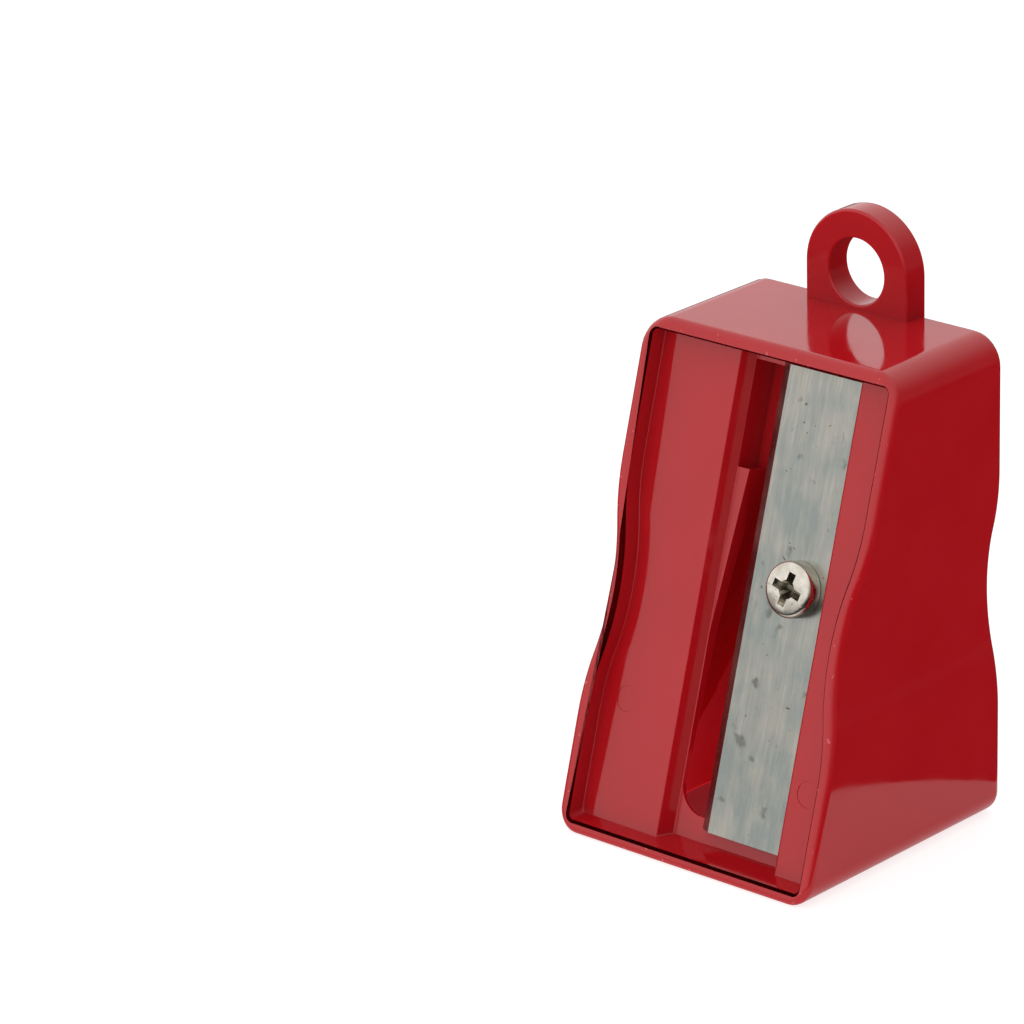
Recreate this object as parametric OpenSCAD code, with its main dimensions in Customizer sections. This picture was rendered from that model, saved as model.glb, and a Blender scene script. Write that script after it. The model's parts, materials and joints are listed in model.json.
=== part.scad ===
// Hand-held sharpener with one conical bore: a moulded body with a hanging loop,
// a ground steel blade in a recess on the leaning face, and one pan-head screw.
// The body stands on its large end. The bore's axis is Z, its mouth is at Z = 0,
// the blade faces -Y and the flat back faces +Y. Millimetres.

/* [Body] */
// Length of the body along the bore, without the loop
body_len = 50; // [42:1:60]
// Depth of the small end, from the back face to the blade face
top_depth = 16.1; // [13:0.1:20]
// Plastic left beside the mouth of the bore, each side
side_wall = 4.6; // [3.5:0.1:7]
// Plastic left behind the mouth of the bore
back_wall = 3.2; // [2.5:0.1:5]
// Plastic left between the mouth of the bore and the blade face
front_wall = 5.1; // [4.6:0.1:6.5]
// Corner radius of the blade face at the large end
base_corner_r = 2.4; // [1:0.1:4]
// Corner radius of the blade face at the small end
top_corner_r = 3.2; // [1:0.1:4]

/* [Finger grip] */
// How far each side is drawn in at the waist
waist_depth = 1.45; // [0.5:0.05:2.2]
// Half of the height over which a side is drawn in
waist_half = 12.5; // [8:0.5:15]
// Height of the waist's middle above the large end
waist_z = 23.8; // [20:0.1:25]

/* [Bore] */
// Diameter of the round mouth that the stick goes in
bore_d = 22.6; // [19:0.1:27.2]
// Radius of the blunt end of the cone
tip_r = 0.6; // [0.4:0.05:1.2]
// How far the blade's edge stands inside the bore where its straight mouth ends
mouth_bite = 0.2; // [0.1:0.01:0.22]
// How far the blade's edge stands inside the cone at its tip
tip_bite = 0.05; // [0:0.01:0.2]

/* [Recess] */
// Width of the raised rim round the recess
rim_w = 1.3; // [1:0.1:2]
// Corner radius of the recess
recess_corner_r = 0.6; // [0.3:0.1:1]
// Depth of the ledge beside the channel, square to the blade face
ledge_depth = 2.15; // [1.6:0.05:2.4]
// Depth of the band behind the blade, square to the blade face
band_depth = 2.35; // [1.8:0.05:2.6]
// Depth of the seat that the blade lies on, square to the blade face
seat_depth = 3.75; // [3.6:0.05:4.4]
// Distance of the ledge from the middle of the bore
channel_w = 4.95; // [4.9:0.05:5.9]
// Width of the sloping wall that leads down from the ledge
channel_slope = 0.8; // [0.2:0.05:0.85]

/* [Slot for the shavings] */
// Distance of the slot's far side from the middle of the bore, beside the cone
slot_w = 4.05; // [3.7:0.05:4.1]
// The same distance where the slot ends beside the cone's tip
slot_tip_w = 2.7; // [1.5:0.1:3.1]
// Corner radius at the slot's lower end
slot_corner_r = 3; // [0.5:0.1:3.1]
// Distance of the slot's lower end from the large end, up the blade face
slot_low = 4.9; // [4:0.1:6]
// Length of the slot up to where it starts to narrow
slot_straight = 18; // [12:0.5:20]
// Length of the slot up to where it widens again past the tip
slot_len = 34.4; // [28:0.1:38]
// How far the slot is cut below the seat
slot_drop = 3.1; // [2.5:0.1:4]

/* [Blade] */
// How far the blade's edge stands past the middle of the bore
edge_past = 0.65; // [0:0.05:0.8]
// Width of the blade, edge to back
blade_w = 10.4; // [8.6:0.1:12.5]
// Thickness of the blade
blade_t = 1.0; // [0.8:0.05:1.2]
// Width of the ground bevel
bevel_w = 1.4; // [1.1:0.1:2]
// Gap between the blade and the recess at the large end
blade_gap_low = 1.4; // [0.6:0.1:2]
// Gap between the blade and the recess at the small end
blade_gap_high = 0.35; // [0.3:0.05:1]
// Gap between the back of the blade and the step beside it
blade_gap_side = 0.15; // [0.1:0.05:0.3]

/* [Screw] */
// Distance of the screw's axis from the back of the blade
screw_inset = 3.45; // [3.1:0.05:4]
// Diameter of the screw's neck, where it passes through the blade
neck_d = 2.9; // [2.5:0.1:3.4]
// Thread diameter, taken at its pitch line
thread_d = 2.6; // [2.2:0.1:2.8]
// Length of thread in the body
thread_len = 3.5; // [2.5:0.1:4]
// Diameter of the pan head
head_d = 5.6; // [5:0.1:6.6]
// Height of the pan head
head_h = 1.8; // [1.6:0.1:2.1]
// Radius of the pan head's upper edge
head_edge_r = 0.8; // [0.4:0.1:1.4]
// Span of the cross recess across the head
cross_len = 3.1; // [2.6:0.1:3.4]
// Width of each wing of the cross recess
cross_w = 0.75; // [0.5:0.05:0.9]
// Depth of the cross recess
cross_depth = 1.25; // [0.8:0.05:1.4]
// Radius of the middle of the cross recess at the top of the head
cross_mouth_r = 1.1; // [0.8:0.05:1.2]
// Clearance all round the neck and the thread
fit_gap = 0.05; // [0.02:0.01:0.08]
// Plastic left between the screw's hole and the cone
screw_web = 0.1; // [0.1:0.05:0.6]

/* [Hanging loop] */
// Width of the loop
loop_w = 12.6; // [10.5:0.1:15.5]
// Diameter of the hole in the loop
loop_hole_d = 6.8; // [5.6:0.1:8]
// Height of the hole's centre above the small end
loop_rise = 3.9; // [3.7:0.1:5]
// Thickness of the loop
loop_t = 3; // [2:0.1:3.5]

/* [Hidden] */
$fn = 64;

// The bore's axis is at X = 0, Y = 0, so the walls give the outside.
bore_r = bore_d / 2;
half_w = bore_r + side_wall;
back_y = bore_r + back_wall;
face_y = -(bore_r + front_wall);
base_depth = back_y - face_y;
lean = atan((base_depth - top_depth) / body_len);
rise = tan(lean);
reach = 2 * (body_len + base_depth);
over = 1;

// The waist is four equal arcs on each side, two bulging and two hollow.
waist_r = (waist_half * waist_half + waist_depth * waist_depth) / (4 * waist_depth);
waist_turn = asin(waist_half / (2 * waist_r));
waist_steps = 6;
corner_steps = 6;

// The cone's front line runs just in front of the blade's edge, from mouth to tip.
seat_y = face_y + seat_depth / cos(lean);
collar_len = (mouth_bite - bore_r - seat_y) / rise;
cone_top = (tip_bite - tip_r - seat_y) / rise;
cone_len = cone_top - collar_len;
cone_slope = (bore_r - tip_r) / cone_len;

floor_w = channel_w - channel_slope;

// The blade fills the recess from end to end, up to its gaps. It is drawn off square
// to its seat, so its top end stops below the rim's own edge.
recess_low = rim_w / cos(lean);
recess_high = (body_len - rim_w) / cos(lean);
blade_low = recess_low + seat_depth * rise + blade_gap_low;
blade_len = recess_high - blade_gap_high - blade_low;
blade_face = seat_depth - blade_t;
edge_x = -edge_past;
blade_back = edge_x + blade_w;

// The screw stands beside the cone, where the cone is narrow enough to miss its hole.
screw_x = blade_back - screw_inset;
pilot_r = thread_d / 2 + fit_gap;
pilot_len = thread_len + 2 * fit_gap;
screw_tip_z = collar_len + (bore_r - screw_x + pilot_r + screw_web) / cone_slope;
screw_t = (screw_tip_z + (seat_depth + pilot_len) * sin(lean)) / cos(lean);

// The thread ends in a point of 45 degrees, cut blunt.
thread_r = thread_d / 2;
point_r = thread_r / 2;

// Points of an arc round c, from angle a0 to a1.
function arc(c, r, a0, a1, steps) =
    [for (i = [0:steps]) let (a = a0 + (a1 - a0) * i / steps) [c[0] + r * cos(a), c[1] + r * sin(a)]];

// Right-hand half of the front outline, drawn in by inset, from the bottom up.
function right_side(inset, low_r, high_r) = concat(
    arc([half_w - inset - low_r, inset + low_r], low_r, -90, 0, corner_steps),
    arc([half_w - waist_r, waist_z - waist_half], waist_r - inset, 0, waist_turn, waist_steps),
    arc([half_w - waist_r + 2 * waist_r * cos(waist_turn), waist_z],
        waist_r + inset, 180 + waist_turn, 180 - waist_turn, 2 * waist_steps),
    arc([half_w - waist_r, waist_z + waist_half], waist_r - inset, -waist_turn, 0, waist_steps),
    arc([half_w - inset - high_r, body_len - inset - high_r], high_r, 0, 90, corner_steps));

function mirrored(points) = [for (i = [len(points) - 1:-1:0]) [-points[i][0], points[i][1]]];

// Solid with the front outline, from the back face forwards.
module outline_block(inset, low_r, high_r, depth) {
    side = right_side(inset, low_r, high_r);
    translate([0, back_y, 0])
        rotate([90, 0, 0])
            linear_extrude(depth)
                polygon(concat(side, mirrored(side)));
}

// Frame of the leaning blade face: X across, Y into the body, Z up the face.
module on_face() {
    translate([0, face_y, 0])
        rotate([-lean, 0, 0])
            children();
}

// Everything in front of a plane that lies depth below the blade face.
module above(depth, x_low, x_high) {
    on_face()
        translate([x_low, depth - reach, -reach / 2])
            cube([x_high - x_low, reach, 2 * reach]);
}

// The seat, with the wall that slopes down to it from the ledge.
module channel() {
    on_face()
        translate([0, 0, -reach / 2])
            linear_extrude(2 * reach)
                polygon([
                    [-channel_w, -reach],
                    [-channel_w, ledge_depth],
                    [-floor_w, seat_depth],
                    [blade_back + blade_gap_side, seat_depth],
                    [blade_back + blade_gap_side, -reach]]);
}

// Cut through the seat in front of the blade's edge, wider above the cone's tip.
module slot() {
    corner = [slot_corner_r - slot_w, slot_low + slot_corner_r];
    on_face()
        translate([0, seat_depth + slot_drop, 0])
            rotate([90, 0, 0])
                linear_extrude(slot_drop + over)
                    polygon(concat(
                        [[edge_x, slot_low]],
                        arc(corner, slot_corner_r, 270, 180, corner_steps),
                        [[-slot_w, slot_low + slot_straight],
                         [-slot_tip_w, slot_low + slot_len],
                         [-floor_w, slot_low + slot_len],
                         [-floor_w, reach],
                         [edge_x, reach]]));
}

module recess() {
    intersection() {
        outline_block(rim_w, recess_corner_r, recess_corner_r, reach);
        union() {
            above(ledge_depth, -half_w, 0);
            above(band_depth, -over, half_w);
            channel();
            slot();
        }
    }
}

module bore() {
    translate([0, 0, -over])
        cylinder(h = collar_len + over, r = bore_r);
    translate([0, 0, collar_len])
        cylinder(h = cone_len, r1 = bore_r, r2 = tip_r);
}

module pilot_hole() {
    on_face()
        translate([screw_x, seat_depth - over, screw_t])
            rotate([-90, 0, 0])
                cylinder(h = pilot_len + over, r = pilot_r);
}

// Upright tab with a round head, flush with the back face.
module loop() {
    translate([0, back_y, body_len])
        rotate([90, 0, 0])
            linear_extrude(loop_t)
                difference() {
                    union() {
                        translate([0, loop_rise])
                            circle(d = loop_w);
                        translate([-loop_w / 2, -over])
                            square([loop_w, loop_rise + over]);
                    }
                    translate([0, loop_rise])
                        circle(d = loop_hole_d);
                }
}

module body() {
    color("crimson")
        union() {
            difference() {
                outline_block(0, base_corner_r, top_corner_r, base_depth);
                above(0, -reach, reach);
                recess();
                bore();
                pilot_hole();
            }
            loop();
        }
}

// Flat strip with one long edge ground to a bevel, lying on its seat.
module blade() {
    color("silver")
        on_face()
            difference() {
                translate([0, 0, blade_low])
                    linear_extrude(blade_len)
                        polygon([
                            [edge_x, seat_depth],
                            [edge_x + bevel_w, blade_face],
                            [blade_back, blade_face],
                            [blade_back, seat_depth]]);
                translate([screw_x, blade_face - over, screw_t])
                    rotate([-90, 0, 0])
                        cylinder(h = blade_t + 2 * over, d = neck_d + 2 * fit_gap);
            }
}

// Cross-shaped driver recess, cut down from the top of the head.
module cross_recess() {
    translate([0, 0, head_h - cross_depth]) {
        for (turn = [0, 90])
            rotate([0, 0, turn])
                translate([-cross_len / 2, -cross_w / 2, 0])
                    cube([cross_len, cross_w, cross_depth + over]);
        cylinder(h = cross_depth, r1 = cross_w / 2, r2 = cross_mouth_r);
    }
}

// Pan head on the blade, neck through the blade, thread down into the body.
module blade_screw() {
    head_edge = [head_d / 2 - head_edge_r, head_h - head_edge_r];
    color("lightgray")
        on_face()
            translate([screw_x, blade_face, screw_t])
                rotate([90, 0, 0]) {
                    difference() {
                        rotate_extrude()
                            polygon(concat(
                                [[0, 0], [head_d / 2, 0]],
                                arc(head_edge, head_edge_r, 0, 90, corner_steps),
                                [[0, head_h]]));
                        cross_recess();
                    }
                    rotate_extrude()
                        polygon([
                            [0, 0],
                            [neck_d / 2, 0],
                            [neck_d / 2, -blade_t],
                            [thread_r, -blade_t],
                            [thread_r, thread_r - point_r - blade_t - thread_len],
                            [point_r, -blade_t - thread_len],
                            [0, -blade_t - thread_len]]);
                }
}

body();
blade();
blade_screw();
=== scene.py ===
# %% [markdown]
# # A one-hole pencil sharpener with a hanging loop
#
# The real object is three pieces: a red moulded body, a strip of ground steel, and the
# screw that holds the strip down. The CAD model fixes where each of them is and how large
# it is. This lesson builds the surfaces that a hand and an eye would find on them: the
# rounded edges that a mould leaves, the ground edge of the blade, the thread and the
# driver recess of the screw, and the three finishes.

import json
import math

import bmesh
import bpy
from mathutils import Matrix, Vector

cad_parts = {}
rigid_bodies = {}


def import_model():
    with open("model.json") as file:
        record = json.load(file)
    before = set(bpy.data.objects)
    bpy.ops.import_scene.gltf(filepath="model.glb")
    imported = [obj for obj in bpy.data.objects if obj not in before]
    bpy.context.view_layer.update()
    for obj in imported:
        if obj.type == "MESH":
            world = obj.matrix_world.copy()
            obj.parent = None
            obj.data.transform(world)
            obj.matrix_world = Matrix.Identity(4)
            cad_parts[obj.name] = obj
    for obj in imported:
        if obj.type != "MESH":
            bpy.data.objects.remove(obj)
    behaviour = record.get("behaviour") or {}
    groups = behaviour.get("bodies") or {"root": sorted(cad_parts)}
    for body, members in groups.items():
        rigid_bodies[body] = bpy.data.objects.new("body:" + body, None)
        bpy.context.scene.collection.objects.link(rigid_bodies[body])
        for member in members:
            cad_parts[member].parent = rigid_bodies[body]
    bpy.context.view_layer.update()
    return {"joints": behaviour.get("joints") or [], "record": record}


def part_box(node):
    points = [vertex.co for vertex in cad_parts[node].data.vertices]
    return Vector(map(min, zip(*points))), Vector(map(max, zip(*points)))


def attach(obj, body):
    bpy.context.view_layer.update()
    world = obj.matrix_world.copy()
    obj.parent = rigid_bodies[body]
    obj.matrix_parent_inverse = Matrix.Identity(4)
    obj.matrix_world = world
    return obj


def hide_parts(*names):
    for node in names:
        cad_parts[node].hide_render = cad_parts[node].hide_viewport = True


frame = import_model()

# %% [markdown]
# ## Sizes
#
# Lengths are easiest to read in millimetres, while Blender works in metres, so one factor
# turns the first into the second. The outside comes from the CAD boxes, the round holes
# come from the record's mounts, and the screw's axis comes from its joint. The steps inside
# the recess are small sizes that no box shows, so they are named here.

# %% Read the sizes from the frame
MM = 0.001

body_low, body_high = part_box("body")
blade_low, blade_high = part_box("blade")
mounts = {m["name"]: m for m in frame["record"]["mounts"]}
joints = {j["name"]: j for j in frame["joints"]}

half_width = body_high.x
back_y = body_high.y
front_y = body_low.y
screw_point = Vector(joints["screw_turn"]["pos_m"])
outward = Vector(joints["screw_turn"]["axis"]).normalized()
lean = math.atan2(outward.z, -outward.y)
bore_radius = mounts["stick_bore"]["dims"]["r_mm"] * MM
collar_length = mounts["stick_bore"]["dims"]["length_mm"] * MM
loop_hole_radius = mounts["loop_hole"]["dims"]["r_mm"] * MM
loop_thickness = mounts["loop_hole"]["dims"]["length_mm"] * MM
loop_centre = Vector(mounts["loop_hole"]["pos_m"])

body_length = 50 * MM
loop_half_width = body_high.z - loop_centre.z
rim_width = 1.3 * MM
ledge_depth = 2.15 * MM
band_depth = 2.35 * MM
seat_depth = 3.75 * MM
blade_thickness = 1.0 * MM
edge_x, blade_back = blade_low.x, blade_high.x
print(f"the face leans {math.degrees(lean):.2f} degrees; the bore is {bore_radius * 2 / MM:.1f} mm wide")

# %% [markdown]
# The blade face leans, and nearly everything on it is measured across it, into it and up
# it. One matrix holds that leaning frame, so a piece can be drawn upright and then laid on
# the face in one step.

# %% The leaning face as a frame of its own
face_frame = Matrix.Translation((0, front_y, 0)) @ Matrix.Rotation(-lean, 4, "X")
face_up = face_frame.to_3x3() @ Vector((0, 0, 1))


def on_face(across, depth, up):
    """The point that lies so far across the face, into it and up it."""
    return face_frame @ Vector((across, depth, up))


screw_up = (face_frame.inverted() @ screw_point).z
screw_across = screw_point.x
print("screw, across and up the face, mm:", round(screw_across / MM, 2), round(screw_up / MM, 2))

# %% [markdown]
# ## Helpers for making meshes
#
# Each piece is a bmesh that operators shape. Three short helpers finish one: the first
# turns it into an object, the second evaluates an object's modifiers into a plain mesh, and
# the third cuts or joins two solids. A Boolean modifier does that last job, as a milling
# cutter would, and it is applied at once so that the next step starts from a plain mesh.

# %% Mesh helpers
def finish_mesh(bm, name):
    """An object made of the bmesh, with doubles merged and faces pointing outwards."""
    bmesh.ops.remove_doubles(bm, verts=bm.verts, dist=0.0005 * MM)
    bmesh.ops.recalc_face_normals(bm, faces=bm.faces)
    mesh = bpy.data.meshes.new(name)
    bm.to_mesh(mesh)
    bm.free()
    piece = bpy.data.objects.new(name, mesh)
    bpy.context.scene.collection.objects.link(piece)
    return piece


def apply_modifiers(piece):
    """Replaces the object's mesh with what its modifiers make of it."""
    view = bpy.context.evaluated_depsgraph_get()
    mesh = bpy.data.meshes.new_from_object(piece.evaluated_get(view))
    piece.modifiers.clear()
    piece.data = mesh


def combine(piece, tool, operation):
    """Cuts the tool out of the piece, or joins it on, and throws the tool away."""
    boolean = piece.modifiers.new(operation.lower(), "BOOLEAN")
    boolean.operation = operation
    boolean.solver = "EXACT"
    boolean.object = tool
    apply_modifiers(piece)
    bpy.data.objects.remove(tool)
    print(operation.lower(), "->", len(piece.data.polygons), "faces")


# %% [markdown]
# Most round things here are turned shapes: the bore, the holes and the screw. A lathe makes
# them from half a section, and so does the spin operator. The section is a chain of points
# given as radius and height, spun a full turn about Z and then moved to its place.

# %% A lathe
def turned(name, section, place, steps=96):
    """A solid of revolution of the section's (radius, height) points, put where place says."""
    bm = bmesh.new()
    chain = [bm.verts.new((radius, 0, height)) for radius, height in section]
    edges = [bm.edges.new(pair) for pair in zip(chain, chain[1:])]
    bmesh.ops.spin(
        bm, geom=chain + edges, cent=(0, 0, 0), axis=(0, 0, 1),
        angle=math.tau, steps=steps, use_merge=True,
    )
    bmesh.ops.transform(bm, matrix=place, verts=bm.verts)
    return finish_mesh(bm, name)


def rounded(centre, radius, start, end, steps=6):
    """Points of a quarter round or so, for a section."""
    return [
        (centre[0] + radius * math.cos(math.radians(start + (end - start) * i / steps)),
         centre[1] + radius * math.sin(math.radians(start + (end - start) * i / steps)))
        for i in range(steps + 1)
    ]


screw_place = Matrix.Translation(screw_point) @ outward.to_track_quat("Z", "Y").to_matrix().to_4x4()

# %% [markdown]
# ## The waisted outline
#
# Seen from the front, the body is a rectangle with rounded corners whose two sides are drawn
# in for finger and thumb. Each side is four equal arcs, two bulging and two hollow, that meet
# without a kink. A vertex is spun about each arc's centre in turn, which draws one half of
# the outline, and a mirror draws the other. The same half, drawn a little smaller, gives the
# recess, and that keeps the rim equally wide all the way round.

# %% Draw the outline
waist_depth = 1.45 * MM
waist_half = 12.5 * MM
waist_height = 23.8 * MM
waist_radius = (waist_half ** 2 + waist_depth ** 2) / (4 * waist_depth)
waist_turn = math.asin(waist_half / (2 * waist_radius))
corner_steps = 8
waist_steps = 14


def waisted_outline(inset, low_radius, high_radius, y):
    """A bmesh with one face of the outline's shape, standing at y."""
    bm = bmesh.new()
    side = half_width - inset
    low, high = inset, body_length - inset

    def line_to(start, x, z):
        end = bm.verts.new((x, y, z))
        bm.edges.new((start, end))
        return end

    def arc_from(start, x, z, turn, steps):
        last = bmesh.ops.spin(
            bm, geom=[start], cent=(x, y, z), axis=(0, -1, 0), angle=turn, steps=steps,
        )["geom_last"]
        return next(v for v in last if isinstance(v, bmesh.types.BMVert))

    bulge_x = half_width - waist_radius
    hollow_x = bulge_x + 2 * waist_radius * math.cos(waist_turn)
    v = line_to(bm.verts.new((0, y, low)), side - low_radius, low)
    v = arc_from(v, side - low_radius, low + low_radius, math.pi / 2, corner_steps)
    v = line_to(v, side, waist_height - waist_half)
    v = arc_from(v, bulge_x, waist_height - waist_half, waist_turn, waist_steps)
    v = arc_from(v, hollow_x, waist_height, -2 * waist_turn, 2 * waist_steps)
    v = arc_from(v, bulge_x, waist_height + waist_half, waist_turn, waist_steps)
    v = line_to(v, side, high - high_radius)
    v = arc_from(v, side - high_radius, high - high_radius, math.pi / 2, corner_steps)
    line_to(v, 0, high)

    bmesh.ops.mirror(bm, geom=bm.verts[:] + bm.edges[:], axis="X", merge_dist=0.001 * MM)
    bmesh.ops.contextual_create(bm, geom=bm.edges[:])
    return bm


# %% [markdown]
# ## The outer block
#
# The outline is extruded from the back face to the front, and a leaning plane slices the
# front off: that plane is the blade face. The rim that is left round it is only 1.3 mm wide
# and reads as one soft bead, so its outer edge is rounded generously. The edges of the flat
# back get a smaller round. The two corners of the small end are tight at the back and wider
# at the blade face on the real part; here each corner keeps one radius from back to front.

# %% Make the block and round its edges
rim_round = 0.75 * MM
back_round = 1.0 * MM


def extrude_along(bm, faces, vector):
    """Extrudes the faces by the vector and returns the new outer faces."""
    made = bmesh.ops.extrude_face_region(bm, geom=faces)["geom"]
    bmesh.ops.translate(bm, vec=vector, verts=[g for g in made if isinstance(g, bmesh.types.BMVert)])
    bmesh.ops.delete(bm, geom=faces, context="FACES_ONLY")
    return [g for g in made if isinstance(g, bmesh.types.BMFace)]


def extrude_solid(bm, vector):
    """Turns a bmesh of one flat face into a closed solid."""
    made = bmesh.ops.extrude_face_region(bm, geom=bm.faces[:])["geom"]
    bmesh.ops.translate(bm, vec=vector, verts=[g for g in made if isinstance(g, bmesh.types.BMVert)])
    bmesh.ops.recalc_face_normals(bm, faces=bm.faces)


def slice_off(bm, point, normal):
    """Cuts away what is on the normal's side of a plane, and closes the cut."""
    cut = bmesh.ops.bisect_plane(
        bm, geom=bm.verts[:] + bm.edges[:] + bm.faces[:], dist=0.0001 * MM,
        plane_co=point, plane_no=normal, clear_outer=True,
    )["geom_cut"]
    bmesh.ops.contextual_create(bm, geom=[g for g in cut if isinstance(g, bmesh.types.BMEdge)])
    bmesh.ops.recalc_face_normals(bm, faces=bm.faces)


def round_edges(bm, edges, radius, segments):
    bmesh.ops.bevel(
        bm, geom=edges, affect="EDGES", offset=radius, offset_type="OFFSET",
        segments=segments, profile=0.5, material=-1, clamp_overlap=True,
    )


def flat_on(bm, point, normal):
    """The edges round every face that lies in a plane."""
    found = set()
    for face in bm.faces:
        square = abs(face.normal.dot(normal)) > 0.9999
        if square and abs((face.calc_center_median() - point).dot(normal)) < 0.001 * MM:
            found.update(face.edges)
    return [e for e in found if e.calc_face_angle(0) > math.radians(5)]


top_corner = 3.2 * MM
block = waisted_outline(0, 2.4 * MM, top_corner, back_y)
extrude_solid(block, Vector((0, front_y - back_y, 0)))
slice_off(block, on_face(0, 0, 0), outward)
round_edges(block, flat_on(block, on_face(0, 0, 0), outward), rim_round, 5)
round_edges(block, flat_on(block, Vector((0, back_y, 0)), Vector((0, 1, 0))), back_round, 5)
body = finish_mesh(block, "moulded_body")
print("outer block:", len(body.data.polygons), "faces")

# %% [markdown]
# ## The hanging loop
#
# The loop is a flat tab with a half-round head, flush with the back face and joined to the
# small end. Its outline is drawn the same way, by spinning a vertex through a quarter turn
# and mirroring it. Its foot starts inside the body, so that joining the two leaves no gap.

# %% Add the loop
loop_round = 0.3 * MM
foot_z = body_length - 3 * MM

tab = bmesh.new()
foot = tab.verts.new((0, back_y, foot_z))
corner = tab.verts.new((loop_half_width, back_y, foot_z))
shoulder = tab.verts.new((loop_half_width, back_y, loop_centre.z))
tab.edges.new((foot, corner))
tab.edges.new((corner, shoulder))
bmesh.ops.spin(
    tab, geom=[shoulder], cent=(0, back_y, loop_centre.z), axis=(0, -1, 0),
    angle=math.pi / 2, steps=20,
)
bmesh.ops.mirror(tab, geom=tab.verts[:] + tab.edges[:], axis="X", merge_dist=0.001 * MM)
bmesh.ops.contextual_create(tab, geom=tab.edges[:])
extrude_solid(tab, Vector((0, -loop_thickness, 0)))
round_edges(tab, [e for e in tab.edges if e.calc_face_angle(0) > math.radians(60)], loop_round, 3)
combine(body, finish_mesh(tab, "loop_tab"), "UNION")

# %% [markdown]
# ## The recess
#
# The recess is what the mould's own core leaves behind, so it is made as that core: a solid
# whose floor steps down wherever the recess does. The outline, drawn one rim's width
# smaller, is extruded and sliced at the ledge. Planes then divide its floor into strips, and
# each strip is pushed in to its own depth: the band behind the blade, and the seat that the
# blade lies on. The seat's floor is then made narrower, so that the wall beside the cutting
# edge slopes. A core's edges are never quite sharp, and rounding them here puts a small
# fillet into every corner of the recess.

# %% Build the core of the recess
seat_end = blade_back + 0.15 * MM
channel_width = 4.95 * MM
channel_slope = 0.8 * MM
core_round = 0.2 * MM
above_the_face = 6 * MM

core = waisted_outline(rim_width, 0.6 * MM, 0.6 * MM, front_y - above_the_face)
extrude_solid(core, Vector((0, back_y - front_y + above_the_face, 0)))
slice_off(core, on_face(0, ledge_depth, 0), -outward)


def floor_between(bm, depth, x_low, x_high):
    """The faces of the core's floor at a depth, within a stretch across."""
    found = []
    for face in bm.faces:
        middle = face_frame.inverted() @ face.calc_center_median()
        level = abs(middle.y - depth) < 0.001 * MM and abs(face.normal.dot(outward)) > 0.999
        if level and x_low < middle.x < x_high:
            found.append(face)
    return found


for x in (-channel_width, seat_end):
    bmesh.ops.bisect_plane(
        core, geom=core.verts[:] + core.edges[:] + core.faces[:], dist=0.0001 * MM,
        plane_co=Vector((x, 0, 0)), plane_no=Vector((1, 0, 0)),
    )
inwards = Vector((0, 1 / math.cos(lean), 0))
extrude_along(core, floor_between(core, ledge_depth, seat_end, half_width), inwards * (band_depth - ledge_depth))
seat = extrude_along(core, floor_between(core, ledge_depth, -channel_width, seat_end), inwards * (seat_depth - ledge_depth))
foot_of_wall = {v for face in seat for v in face.verts if v.co.x < -channel_width + 0.01 * MM}
bmesh.ops.translate(core, vec=(channel_slope, 0, 0), verts=list(foot_of_wall))
bmesh.ops.dissolve_limit(core, angle_limit=math.radians(0.1), verts=core.verts, edges=core.edges)
bmesh.ops.recalc_face_normals(core, faces=core.faces)
steps_and_corners = [
    e for e in core.edges
    if e.calc_face_angle(0) > math.radians(20)
    and (e.verts[0].co + e.verts[1].co).y / 2 > front_y - above_the_face / 2
]
round_edges(core, steps_and_corners, core_round, 3)
combine(body, finish_mesh(core, "recess_core"), "DIFFERENCE")

# %% [markdown]
# The rim's inner edge is softened in the same way. A second, shallow core is a little larger
# than the recess and has a slanting edge, so it takes off just the corner.

# %% Soften the rim
rim_soft = 0.24 * MM
flare = waisted_outline(rim_width - rim_soft, 0.6 * MM + rim_soft, 0.6 * MM + rim_soft, front_y - above_the_face)
extrude_solid(flare, Vector((0, back_y - front_y + above_the_face, 0)))
slice_off(flare, on_face(0, rim_soft, 0), -outward)
round_edges(flare, flat_on(flare, on_face(0, rim_soft, 0), outward), rim_soft, 1)
combine(body, finish_mesh(flare, "rim_flare"), "DIFFERENCE")

# %% [markdown]
# ## The slot for the shavings
#
# In front of the cutting edge the seat is cut away, so that a shaving can leave the cone. The
# mould does it with one more blade of a core. It is wide beside the cone, tapers towards the
# cone's tip, so that a land is left at the foot of the sloping wall, and takes the whole width
# of the seat again past the tip. Its outline is drawn flat, with one corner spun round, then
# extruded and turned onto the face.

# %% Cut the slot
slot_width = 4.05 * MM
slot_tip_width = 2.7 * MM
slot_corner = 3.0 * MM
slot_low = 4.9 * MM
slot_straight = 18 * MM
slot_length = 34.4 * MM
slot_drop = 3.1 * MM
slot_end = body_length
floor_width = channel_width - channel_slope
over = 1 * MM

slot = bmesh.new()
bottom = seat_depth + slot_drop
chain = [slot.verts.new((edge_x, bottom, slot_low)), slot.verts.new((slot_corner - slot_width, bottom, slot_low))]
slot.edges.new(chain)
turn = bmesh.ops.spin(
    slot, geom=[chain[1]], cent=(slot_corner - slot_width, bottom, slot_low + slot_corner),
    axis=(0, 1, 0), angle=math.pi / 2, steps=10,
)["geom_last"]
last = next(v for v in turn if isinstance(v, bmesh.types.BMVert))
for across, up in (
        (-slot_width, slot_low + slot_straight), (-slot_tip_width, slot_low + slot_length),
        (-floor_width, slot_low + slot_length), (-floor_width, slot_end), (edge_x, slot_end)):
    corner = slot.verts.new((across, bottom, up))
    slot.edges.new((last, corner))
    last = corner
slot.edges.new((last, chain[0]))
bmesh.ops.contextual_create(slot, geom=slot.edges[:])
extrude_solid(slot, Vector((0, -slot_drop - over, 0)))
bmesh.ops.transform(slot, matrix=face_frame, verts=slot.verts)
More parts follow.
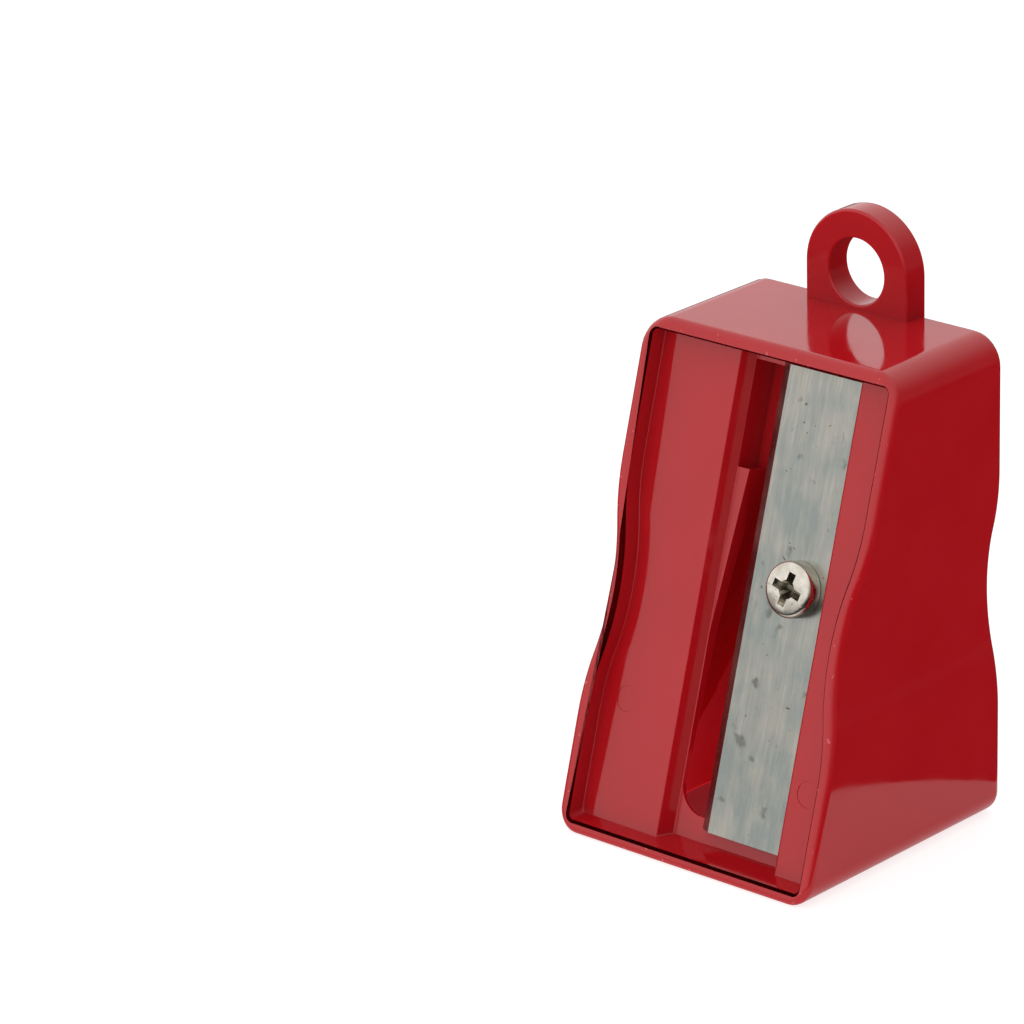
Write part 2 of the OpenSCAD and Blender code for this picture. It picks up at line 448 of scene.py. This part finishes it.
combine(body, finish_mesh(slot, "slot_core"), "DIFFERENCE")

# %% [markdown]
# ## The bore
#
# The stick goes into a straight round mouth and is cut to a cone. On the real mould this is
# one turned pin, so here it is one turned section: a small flare that takes the sharpness
# off the mouth, the straight collar, the long cone, and the blunt tip.

# %% Cut the bore and the holes
mouth_round = 0.35 * MM
cone_tip_radius = 0.6 * MM
cone_top = (0.05 * MM - cone_tip_radius - (front_y + seat_depth / math.cos(lean))) / math.tan(lean)

bore_section = [(0, -over), (bore_radius + mouth_round, -over)]
bore_section += rounded((bore_radius + mouth_round, mouth_round), mouth_round, 270, 180)
bore_section += [(bore_radius, collar_length), (cone_tip_radius, cone_top), (0, cone_top)]
combine(body, turned("bore_pin", bore_section, Matrix(), steps=128), "DIFFERENCE")

hole_flare = 0.2 * MM
half_through = loop_thickness / 2
hole_section = [(0, -half_through - over), (loop_hole_radius + hole_flare, -half_through - over)]
hole_section += rounded((loop_hole_radius + hole_flare, hole_flare - half_through), hole_flare, 270, 180)
hole_section += rounded((loop_hole_radius + hole_flare, half_through - hole_flare), hole_flare, 180, 90)
hole_section += [(loop_hole_radius + hole_flare, half_through + over), (0, half_through + over)]
hole_place = Matrix.Translation(loop_centre) @ Matrix.Rotation(math.pi / 2, 4, "X")
combine(body, turned("loop_pin", hole_section, hole_place, steps=72), "DIFFERENCE")

pilot_radius = 1.35 * MM
pilot_depth = 3.6 * MM
seat_from_screw = (face_frame.inverted() @ screw_point).y - seat_depth
pilot_top = seat_from_screw + over
pilot_bottom = seat_from_screw - pilot_depth
pilot_section = [(0, pilot_bottom), (pilot_radius, pilot_bottom), (pilot_radius, pilot_top), (0, pilot_top)]
combine(body, turned("pilot_pin", pilot_section, screw_place, steps=48), "DIFFERENCE")

# %% [markdown]
# Small marks give a moulded part away. Ejector pins, which push it off the mould, leave
# shallow round dents in its flat floors, and so a thin disc is cut in wherever one stands.
# After so many cuts, points that all but coincide are merged.

# %% Press in the ejector marks
mark_depth = 0.06 * MM
mark_slope = 0.05 * MM
ejector_marks = [
    (12.1 * MM, band_depth, 10.6 * MM, 1.35 * MM),
    (-11.4 * MM, ledge_depth, 14.3 * MM, 1.35 * MM),
]
out_of_face = Matrix.Rotation(math.pi / 2, 4, "X")
for across, depth, up, radius in ejector_marks:
    dent = [(0, -mark_depth), (radius - mark_slope, -mark_depth), (radius, 0.1 * MM), (0, 0.1 * MM)]
    place = face_frame @ Matrix.Translation((across, depth, up)) @ out_of_face
    combine(body, turned("ejector_pin", dent, place, steps=48), "DIFFERENCE")


def clean(piece):
    """Merges the slivers that cutting leaves, and counts the edges that aren't closed."""
    bm = bmesh.new()
    bm.from_mesh(piece.data)
    bmesh.ops.remove_doubles(bm, verts=bm.verts, dist=0.002 * MM)
    bmesh.ops.dissolve_degenerate(bm, edges=bm.edges, dist=0.002 * MM)
    open_edges = sum(not e.is_manifold for e in bm.edges)
    bm.to_mesh(piece.data)
    bm.free()
    print(piece.name, "open edges:", open_edges)


clean(body)

# %% [markdown]
# Glossy plastic shows every wrong normal. The faces are shaded smooth, edges that turn sharply
# are kept sharp, and a Weighted Normal modifier lets the large flats decide the direction at
# their borders, so that they mirror like flats and only the rounds between them bend.

# %% Smooth shading that keeps flats flat
def shade_for_gloss(piece, sharp_degrees):
    """Smooth shading with crisp edges above an angle and flats that stay flat."""
    for polygon in piece.data.polygons:
        polygon.use_smooth = True
    piece.data.set_sharp_from_angle(angle=math.radians(sharp_degrees))
    weighted = piece.modifiers.new("flat_normals", "WEIGHTED_NORMAL")
    weighted.keep_sharp = True
    weighted.weight = 80


shade_for_gloss(body, 32)
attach(body, "body")
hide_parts("body")
print("body:", len(body.data.polygons), "faces")

# %% [markdown]
# ## The blade
#
# The blade is a piece of hardened strip, ground to a bevel along one side and punched for the
# screw. Its section is drawn with five corners: the fifth is the tiny flat that even a keen
# edge has. It is extruded along the face, its other edges lose their burr in a narrow bevel,
# and a pin cuts the hole. The lengths come from the CAD blade's box.

# %% Make the blade
bevel_width = 1.4 * MM
edge_flat = 0.03 * MM
burr = 0.07 * MM
blade_face = seat_depth - blade_thickness
blade_bottom_up = (blade_low.z + seat_depth * math.sin(lean)) / math.cos(lean)
blade_top_up = (blade_high.z + blade_face * math.sin(lean)) / math.cos(lean)

strip = bmesh.new()
section = [
    (edge_x, seat_depth), (edge_x, seat_depth - edge_flat), (edge_x + bevel_width, blade_face),
    (blade_back, blade_face), (blade_back, seat_depth),
]
ring = [strip.verts.new((across, depth, blade_bottom_up)) for across, depth in section]
bmesh.ops.contextual_create(strip, geom=ring)
extrude_solid(strip, Vector((0, 0, blade_top_up - blade_bottom_up)))
blunt = [
    e for e in strip.edges
    if max(v.co.x for v in e.verts) > edge_x + bevel_width / 2 and e.calc_face_angle(0) > math.radians(45)
]
round_edges(strip, blunt, burr, 2)
bmesh.ops.transform(strip, matrix=face_frame, verts=strip.verts)
blade = finish_mesh(strip, "ground_blade")

hole_radius = 1.5 * MM
hole_pin = [(0, -over), (hole_radius, -over), (hole_radius, blade_thickness + over), (0, blade_thickness + over)]
combine(blade, turned("blade_punch", hole_pin, screw_place, steps=48), "DIFFERENCE")
clean(blade)
shade_for_gloss(blade, 20)
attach(blade, "blade")
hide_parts("blade")
print("blade, mm along the face:", round((blade_top_up - blade_bottom_up) / MM, 2))

# %% [markdown]
# ## The screw
#
# A pan-head screw is turned, threaded and then struck with a cross. Here, too, the lathe makes
# the blank: a blunt tip, a core as thick as the thread's root, a neck that fills the blade's
# hole, and a head with a generously rounded edge.

# %% Turn the screw's blank
head_radius = 2.8 * MM
head_height = 1.8 * MM
head_round = 0.6 * MM
neck_radius = 1.45 * MM
root_radius = 1.05 * MM
tip_flat = 0.45 * MM
thread_length = 3.5 * MM
head_top = blade_thickness + head_height

blank = [
    (0, -thread_length), (tip_flat, -thread_length), (root_radius, tip_flat + 0.2 * MM - thread_length),
    (root_radius, -0.25 * MM), (neck_radius, 0), (neck_radius, blade_thickness),
    (head_radius - burr, blade_thickness), (head_radius, blade_thickness + burr),
]
blank += rounded((head_radius - head_round, head_top - head_round), head_round, 0, 80, steps=8)
blank += [(0, head_top)]
screw = turned("pan_head_screw", blank, Matrix(), steps=72)

# %% [markdown]
# The thread is a ridge that climbs as it turns. Spin does exactly that when it is given a
# small lift for every step: a triangle with its base sunk in the core is swept round and down
# for a little over two turns, and its two ends are closed.

# %% Wind the thread
pitch = 1.1 * MM
thread_radius = 1.32 * MM
turns = 2.2
steps_per_turn = 36
ridge_half = 0.38 * MM

ridge = bmesh.new()
root = root_radius - 0.1 * MM
start = -0.45 * MM
corners = [
    ridge.verts.new((root, 0, start + ridge_half)), ridge.verts.new((thread_radius, 0, start)),
    ridge.verts.new((root, 0, start - ridge_half)),
]
loop_edges = [ridge.edges.new((corners[i - 1], corners[i])) for i in range(3)]
steps = round(turns * steps_per_turn)
bmesh.ops.spin(
    ridge, geom=corners + loop_edges, cent=(0, 0, 0), axis=(0, 0, 1),
    angle=math.tau * turns, steps=steps, dvec=(0, 0, -pitch / steps_per_turn),
)
bmesh.ops.holes_fill(ridge, edges=ridge.edges, sides=3)
combine(screw, finish_mesh(ridge, "thread_ridge"), "UNION")

# %% [markdown]
# The driver recess is a cross whose wings narrow towards the bottom. Each wing is a block with
# its lower face drawn in, and a short cone opens the middle. The cross stands a little off
# square to the blade, as a screw stops wherever it is tight.

# %% Strike the cross
cross_length = 3.5 * MM
cross_width = 0.85 * MM
cross_depth = 1.25 * MM
cross_turn = math.radians(-14)
draw_in = Vector((0.5, 0.6, 1))
clear_top = 0.01 * MM

for quarter in (0, math.pi / 2):
    wing = bmesh.new()
    bmesh.ops.create_cube(wing, size=1)
    bmesh.ops.scale(wing, vec=(cross_length, cross_width, cross_depth), verts=wing.verts)
    low = [v for v in wing.verts if v.co.z < 0]
    bmesh.ops.scale(wing, vec=draw_in, verts=low)
    sunk_place = Matrix.Translation((0, 0, head_top + clear_top - cross_depth / 2))
    across_the_head = Matrix.Rotation(quarter + cross_turn, 4, "Z")
    bmesh.ops.transform(wing, matrix=sunk_place @ across_the_head, verts=wing.verts)
    combine(screw, finish_mesh(wing, "cross_wing"), "DIFFERENCE")
middle_radius = 0.95 * MM
middle_low, middle_high = head_top - cross_depth, head_top + clear_top
middle = [(0, middle_low), (middle_radius / 3, middle_low), (middle_radius, middle_high), (0, middle_high)]
combine(screw, turned("cross_middle", middle, Matrix(), steps=24), "DIFFERENCE")
screw.data.transform(screw_place)
clean(screw)
shade_for_gloss(screw, 28)
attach(screw, "screw")
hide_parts("blade_screw")

# %% [markdown]
# ## Shared effects
#
# Three effects turn up in more than one finish, so each is a node group with its own inputs.
# Mottle is a slow change over some millimetres. Grain is the same noise drawn out along one
# direction. Specks are the rare peaks of a finer noise, kept by a threshold. All of them read
# a position that the material hands in, so each material can turn the pattern its own way.

# %% Node groups
def add_node(tree, kind, **settings):
    """A node with its properties and, where the name is a socket's, its values set."""
    node = tree.nodes.new(kind)
    for name, value in settings.items():
        if name in node.inputs:
            node.inputs[name].default_value = value
        else:
            setattr(node, name, value)
    return node


def effect(name, inputs):
    """A node group with a Position, the named numbers, and one Value that comes out."""
    tree = bpy.data.node_groups.new(name, "ShaderNodeTree")
    tree.interface.new_socket("Position", in_out="INPUT", socket_type="NodeSocketVector")
    for label, value in inputs.items():
        socket = tree.interface.new_socket(label, in_out="INPUT", socket_type="NodeSocketFloat")
        socket.default_value = value
    tree.interface.new_socket("Value", in_out="OUTPUT", socket_type="NodeSocketFloat")
    return tree, tree.nodes.new("NodeGroupInput"), tree.nodes.new("NodeGroupOutput")


mottle, given, out = effect("mottle", {"Scale": 200.0})
cloud = add_node(mottle, "ShaderNodeTexNoise", Detail=3.0, Roughness=0.55)
mottle.links.new(given.outputs["Position"], cloud.inputs["Vector"])
mottle.links.new(given.outputs["Scale"], cloud.inputs["Scale"])
mottle.links.new(cloud.outputs["Fac"], out.inputs["Value"])

grain, given, out = effect("drawn_grain", {"Across": 6000.0, "Along": 250.0})
stretch = add_node(grain, "ShaderNodeCombineXYZ")
drawn = add_node(grain, "ShaderNodeVectorMath", operation="MULTIPLY")
streaks = add_node(grain, "ShaderNodeTexNoise", Scale=1.0, Detail=4.0, Roughness=0.6)
grain.links.new(given.outputs["Across"], stretch.inputs["X"])
grain.links.new(given.outputs["Across"], stretch.inputs["Y"])
grain.links.new(given.outputs["Along"], stretch.inputs["Z"])
grain.links.new(given.outputs["Position"], drawn.inputs[0])
grain.links.new(stretch.outputs["Vector"], drawn.inputs[1])
grain.links.new(drawn.outputs["Vector"], streaks.inputs["Vector"])
grain.links.new(streaks.outputs["Fac"], out.inputs["Value"])

specks, given, out = effect("specks", {"Scale": 700.0, "Threshold": 0.68, "Softness": 0.04})
dots = add_node(specks, "ShaderNodeTexNoise", Detail=2.0, Roughness=0.5)
upper = add_node(specks, "ShaderNodeMath", operation="ADD")
keep = add_node(specks, "ShaderNodeMapRange")
specks.links.new(given.outputs["Position"], dots.inputs["Vector"])
specks.links.new(given.outputs["Scale"], dots.inputs["Scale"])
specks.links.new(given.outputs["Threshold"], upper.inputs[0])
specks.links.new(given.outputs["Softness"], upper.inputs[1])
specks.links.new(dots.outputs["Fac"], keep.inputs["Value"])
specks.links.new(given.outputs["Threshold"], keep.inputs["From Min"])
specks.links.new(upper.outputs["Value"], keep.inputs["From Max"])
specks.links.new(keep.outputs["Result"], out.inputs["Value"])
print("effects:", [tree.name for tree in (mottle, grain, specks)])

# %% [markdown]
# A material needs the same few joints each time: a position measured on the leaning face, a
# group put in place, a range stretched to another, and a blend of two colours. A small class
# holds the tree and makes them, so that each finish below reads as a list of its layers.

# %% A helper for finishes
class Finish:
    """A Principled material and the layers that feed it."""

    def __init__(self, name, **uniform):
        self.material = bpy.data.materials.new(name)
        self.material.use_nodes = True
        self.tree = self.material.node_tree
        self.shader = self.tree.nodes["Principled BSDF"]
        for socket, value in uniform.items():
            self.shader.inputs[socket.replace("_", " ")].default_value = value
        where = self.tree.nodes.new("ShaderNodeTexCoord")
        on_the_face = add_node(self.tree, "ShaderNodeMapping", vector_type="TEXTURE")
        on_the_face.inputs["Location"].default_value = (0, front_y, 0)
        on_the_face.inputs["Rotation"].default_value = (-lean, 0, 0)
        self.tree.links.new(where.outputs["Object"], on_the_face.inputs["Vector"])
        self.position = on_the_face.outputs["Vector"]

    def layer(self, group, **values):
        node = self.tree.nodes.new("ShaderNodeGroup")
        node.node_tree = group
        for socket, value in values.items():
            node.inputs[socket].default_value = value
        self.tree.links.new(self.position, node.inputs["Position"])
        return node.outputs["Value"]

    def ranged(self, value, low, high, to_low=0.0, to_high=1.0):
        node = self.tree.nodes.new("ShaderNodeMapRange")
        self.tree.links.new(value, node.inputs["Value"])
        for socket, number in zip(("From Min", "From Max", "To Min", "To Max"), (low, high, to_low, to_high)):
            node.inputs[socket].default_value = number
        return node.outputs["Result"]

    def maths(self, operation, first, second):
        node = self.tree.nodes.new("ShaderNodeMath")
        node.operation = operation
        for socket, value in zip(node.inputs, (first, second)):
            if isinstance(value, float):
                socket.default_value = value
            else:
                self.tree.links.new(value, socket)
        return node.outputs["Value"]

    def blend(self, factor, first, second):
        node = add_node(self.tree, "ShaderNodeMix", data_type="RGBA")
        self.tree.links.new(factor, node.inputs["Factor"])
        colour_sockets = [i for i in node.inputs if i.type == "RGBA"]
        for socket, colour in zip(colour_sockets, (first, second)):
            if isinstance(colour, tuple):
                socket.default_value = (*colour, 1)
            else:
                self.tree.links.new(colour, socket)
        return next(o for o in node.outputs if o.type == "RGBA")

    def feed(self, socket, value):
        self.tree.links.new(value, self.shader.inputs[socket])

    def bump(self, height, strength, distance):
        node = add_node(self.tree, "ShaderNodeBump", Strength=strength, Distance=distance)
        self.tree.links.new(height, node.inputs["Height"])
        self.feed("Normal", node.outputs["Normal"])

    def dress(self, piece):
        piece.data.materials.clear()
        piece.data.materials.append(self.material)
        print(self.material.name, "on", piece.name)


# %% [markdown]
# ## Red plastic
#
# The body is a pigmented plastic with a polished-mould gloss. Its colour drifts slightly as
# the pigment does, its gloss is dulled in patches by handling, and its surface has the faint
# ripple of a moulding. The blade face has been rubbed: pale scuffs sit on the rim and fine
# scrapes run over the ledge. A little light passes into the plastic, which keeps the slot and
# the thin loop warm; the slot is warmed more by the painted red glow of the disc under the bore.

# %% The red finish
deep_red = (0.39, 0.0045, 0.0085)
light_red = (0.44, 0.0075, 0.012)
scuffed_red = (0.72, 0.16, 0.17)

red = Finish(
    "glossy_red_plastic", Subsurface_Weight=0.18, Subsurface_Scale=0.002,
    Subsurface_Radius=(1.0, 0.08, 0.05), IOR=1.5,
)
drift = red.layer(mottle, Scale=110.0)
patches = red.layer(mottle, Scale=260.0)
scrapes = red.layer(grain, Across=1500.0, Along=5200.0)
rubbed = red.layer(specks, Scale=1300.0, Threshold=0.67, Softness=0.05)
parts = red.tree.nodes.new("ShaderNodeSeparateXYZ")
red.tree.links.new(red.position, parts.inputs["Vector"])
on_rim = red.ranged(parts.outputs["Y"], 0.25 * MM, 0.1 * MM)
rim_scuffs = red.maths("MULTIPLY", on_rim, rubbed)
fine_scrapes = red.ranged(scrapes, 0.70, 0.76)
marks = red.maths("MAXIMUM", rim_scuffs, red.maths("MULTIPLY", fine_scrapes, 0.25))
plain = red.blend(drift, deep_red, light_red)
red.feed("Base Color", red.blend(red.maths("MULTIPLY", marks, 0.5), plain, scuffed_red))
dulled = red.ranged(patches, 0.3, 0.8, 0.05, 0.15)
red.feed("Roughness", red.maths("ADD", dulled, red.maths("MULTIPLY", marks, 0.25)))
red.bump(red.maths("ADD", patches, red.maths("MULTIPLY", marks, 0.6)), 0.25, 0.00003)
red.dress(body)

# %% [markdown]
# ## Ground steel
#
# The strip is ground along its length, so its grain runs up the blade and blurs what it
# mirrors. Storage has left it cloudy: warm and cool greys lie over each other, and small dark
# spots of rust and dried oil have set in.

# %% The steel finish
cool_steel = (0.29, 0.315, 0.295)
warm_steel = (0.46, 0.44, 0.385)
streak_grey = (0.25, 0.26, 0.25)
stain = (0.13, 0.14, 0.11)
rust = (0.10, 0.06, 0.04)

steel = Finish("ground_steel", Metallic=1.0)
clouds = steel.layer(mottle, Scale=170.0)
ground = steel.layer(grain, Across=5200.0, Along=170.0)
coarse = steel.layer(grain, Across=1300.0, Along=260.0)
stains = steel.layer(specks, Scale=520.0, Threshold=0.66, Softness=0.10)
spots = steel.layer(specks, Scale=1300.0, Threshold=0.74, Softness=0.03)
tone = steel.ranged(steel.maths("ADD", clouds, steel.maths("MULTIPLY", coarse, 0.6)), 0.64, 0.94)
metal = steel.blend(tone, cool_steel, warm_steel)
streaked = steel.blend(steel.ranged(ground, 0.35, 0.75, 0.0, 0.5), metal, streak_grey)
stained = steel.blend(steel.maths("MULTIPLY", stains, 0.55), streaked, stain)
steel.feed("Base Color", steel.blend(steel.maths("MULTIPLY", spots, 0.8), stained, rust))
hazy = steel.ranged(clouds, 0.3, 0.7, 0.24, 0.36)
steel.feed("Roughness", steel.maths("ADD", hazy, steel.maths("MULTIPLY", stains, 0.2)))
steel.bump(steel.maths("ADD", ground, steel.maths("MULTIPLY", stains, 0.5)), 0.3, 0.00001)
steel.dress(blade)

# %% [markdown]
# ## Nickel plate
#
# The screw is plated, bright and slightly yellow. Tumbling with thousands of others has left
# small nicks. The bottom of the cross is painted darker, as painted shade, and made a little
# rougher. How deep a point lies below the top of the head tells where that is.

# %% The nickel finish
bright_nickel = (0.74, 0.69, 0.61)
dull_nickel = (0.52, 0.48, 0.41)
# colour of the painted shade at the bottom of the cross
cross_shade_colour = (0.12, 0.105, 0.07)

nickel = Finish("nickel_plate", Metallic=1.0)
bloom = nickel.layer(mottle, Scale=900.0)
nicks = nickel.layer(specks, Scale=2600.0, Threshold=0.62, Softness=0.08)
parts = nickel.tree.nodes.new("ShaderNodeSeparateXYZ")
nickel.tree.links.new(nickel.position, parts.inputs["Vector"])
top_depth = seat_depth - head_top
sunk = nickel.ranged(parts.outputs["Y"], top_depth + 0.25 * MM, top_depth + 1.0 * MM)
from_axis = nickel.tree.nodes.new("ShaderNodeVectorMath")
from_axis.operation = "DISTANCE"
flat_place = add_node(nickel.tree, "ShaderNodeCombineXYZ", Y=0.0)
nickel.tree.links.new(parts.outputs["X"], flat_place.inputs["X"])
nickel.tree.links.new(parts.outputs["Z"], flat_place.inputs["Z"])
nickel.tree.links.new(flat_place.outputs["Vector"], from_axis.inputs[0])
from_axis.inputs[1].default_value = (screw_across, 0, screw_up)
inside_head = nickel.ranged(from_axis.outputs["Value"], 2.0 * MM, 1.7 * MM)
# painted shade: darker and a little rougher deep in the cross, near the screw's axis
painted_cross_shade = nickel.maths("MULTIPLY", nickel.maths("MULTIPLY", sunk, inside_head), 0.85)
plated = nickel.blend(nickel.ranged(bloom, 0.35, 0.7), bright_nickel, dull_nickel)
nickel.feed("Base Color", nickel.blend(painted_cross_shade, plated, cross_shade_colour))
worn = nickel.ranged(bloom, 0.3, 0.7, 0.12, 0.24)
nickel.feed("Roughness", nickel.maths("ADD", worn, nickel.maths("MULTIPLY", painted_cross_shade, 0.3)))
nickel.bump(nickel.maths("SUBTRACT", bloom, nicks), 0.35, 0.00002)
nickel.dress(screw)

# %% [markdown]
# ## Floor and light
#
# The part stands on a pale floor in a soft studio. Gloss shows whatever stands round it, so
# the surroundings matter as much as the lamps: a bright side to the left and above, a dimmer
# one to the right, and darkness low down. The wide floor lights the part but is kept out of
# its reflections, and a small sheet under the part, seen by nothing else, is the only low
# thing that its sides mirror. Both glow, so that they stay pale next to the part's shadow. A
# red disc lies where the bore stands over the floor. Its dark red is painted shade, and its
# red glow is painted light: it lights the inside of the bore and the slot in place of the
# light that comes through the plastic, and to the camera it glows only faintly.

# %% Make the floor
floor_gap = 0.05 * MM
sheet_radius = 30 * MM
sheet_centre = Vector((6 * MM, -6 * MM, -0.02 * MM))

floor_mesh = bmesh.new()
bmesh.ops.create_grid(floor_mesh, x_segments=1, y_segments=1, size=3)
bmesh.ops.translate(floor_mesh, vec=(0, 0, -floor_gap), verts=floor_mesh.verts)
floor = finish_mesh(floor_mesh, "floor")
floor.visible_glossy = False
sheet_mesh = bmesh.new()
bmesh.ops.create_circle(sheet_mesh, cap_ends=True, segments=96, radius=sheet_radius)
bmesh.ops.translate(sheet_mesh, vec=sheet_centre, verts=sheet_mesh.verts)
sheet = finish_mesh(sheet_mesh, "pale_sheet")

paper = bpy.data.materials.new("pale_paper")
paper.use_nodes = True
paper_shader = paper.node_tree.nodes["Principled BSDF"]
paper_shader.inputs["Base Color"].default_value = (0.38, 0.38, 0.38, 1)
paper_shader.inputs["Roughness"].default_value = 0.9
paper_shader.inputs["Specular IOR Level"].default_value = 0.0
paper_shader.inputs["Emission Color"].default_value = (1, 1, 1, 1)
paper_shader.inputs["Emission Strength"].default_value = 0.78
floor.data.materials.append(paper)

card = paper.copy()
card.name = "grey_card"
card.node_tree.nodes["Principled BSDF"].inputs["Emission Strength"].default_value = 0.42
sheet.data.materials.append(card)
sheet.visible_camera = False
sheet.visible_diffuse = False
sheet.visible_shadow = False

# painted shade and painted light: a dark red disc under the bore that glows red into the bore and the slot
shade_mesh = bmesh.new()
bmesh.ops.create_circle(shade_mesh, cap_ends=True, segments=96, radius=bore_radius + over)
bmesh.ops.translate(shade_mesh, vec=(0, 0, -0.01 * MM), verts=shade_mesh.verts)
shade = finish_mesh(shade_mesh, "shaded_floor")
shade_and_glow_paper = bpy.data.materials.new("shaded_paper")
shade_and_glow_paper.use_nodes = True
shade_shader = shade_and_glow_paper.node_tree.nodes["Principled BSDF"]
shade_shader.inputs["Base Color"].default_value = (0.35, 0.12, 0.12, 1)
shade_shader.inputs["Emission Color"].default_value = (1, 0.05, 0.08, 1)
# the painted glow is strong for the rays that light the part and faint for the camera
seen = add_node(shade_and_glow_paper.node_tree, "ShaderNodeLightPath").outputs["Is Camera Ray"]
glow = add_node(shade_and_glow_paper.node_tree, "ShaderNodeMapRange")
glow.inputs["To Min"].default_value = 0.9
glow.inputs["To Max"].default_value = 0.12
shade_and_glow_paper.node_tree.links.new(seen, glow.inputs["Value"])
shade_and_glow_paper.node_tree.links.new(glow.outputs["Result"], shade_shader.inputs["Emission Strength"])
shade.data.materials.append(shade_and_glow_paper)

# %% [markdown]
# The studio round the part is painted onto the world. Its brightness depends only on the
# direction: the dot product with the direction of the bright side gives the change from left
# to right, and the height gives the change from low to high.

# %% Light the studio
bright_side = Vector((-0.62, -0.33, 0.71))
dim, bright, low_glow = 0.16, 1.15, 0.10

world = bpy.data.worlds.new("studio")
bpy.context.scene.world = world
world.use_nodes = True
sky = world.node_tree
background = sky.nodes["Background"]
direction = add_node(sky, "ShaderNodeTexCoord").outputs["Generated"]
towards = add_node(sky, "ShaderNodeVectorMath", operation="DOT_PRODUCT")
towards.inputs[1].default_value = bright_side
sky.links.new(direction, towards.inputs[0])
side_to_side = add_node(sky, "ShaderNodeMapRange", interpolation_type="SMOOTHSTEP")
sky.links.new(towards.outputs["Value"], side_to_side.inputs["Value"])
height = sky.nodes.new("ShaderNodeSeparateXYZ")
sky.links.new(direction, height.inputs["Vector"])
low_to_high = add_node(sky, "ShaderNodeMapRange", interpolation_type="SMOOTHSTEP")
sky.links.new(height.outputs["Z"], low_to_high.inputs["Value"])
for ramp, numbers in ((side_to_side, (-0.55, 0.45, dim, bright)), (low_to_high, (-0.16, 0.05, low_glow, 1.0))):
    for socket, number in zip(("From Min", "From Max", "To Min", "To Max"), numbers):
        ramp.inputs[socket].default_value = number
strength = add_node(sky, "ShaderNodeMath", operation="MULTIPLY")
sky.links.new(side_to_side.outputs["Result"], strength.inputs[0])
sky.links.new(low_to_high.outputs["Result"], strength.inputs[1])
sky.links.new(strength.outputs["Value"], background.inputs["Strength"])
background.inputs["Color"].default_value = (1, 1, 1, 1)

# %% [markdown]
# ## Camera
#
# A long lens from the right and a little above shows the blade face, the top and one side at
# once, and keeps the upright edges almost parallel.

# %% Place the camera
camera_data = bpy.data.cameras.new("camera")
camera = bpy.data.objects.new("camera", camera_data)
bpy.context.scene.collection.objects.link(camera)
camera_data.lens = 206.66
camera_data.sensor_width = 36
camera_data.clip_start = 0.01
camera.location = (0.33938, -0.41293, 0.23496)
camera.rotation_euler = [math.radians(angle) for angle in (69.275, 1.298, 41.739)]
bpy.context.scene.camera = camera
bpy.context.scene.view_settings.view_transform = "Standard"
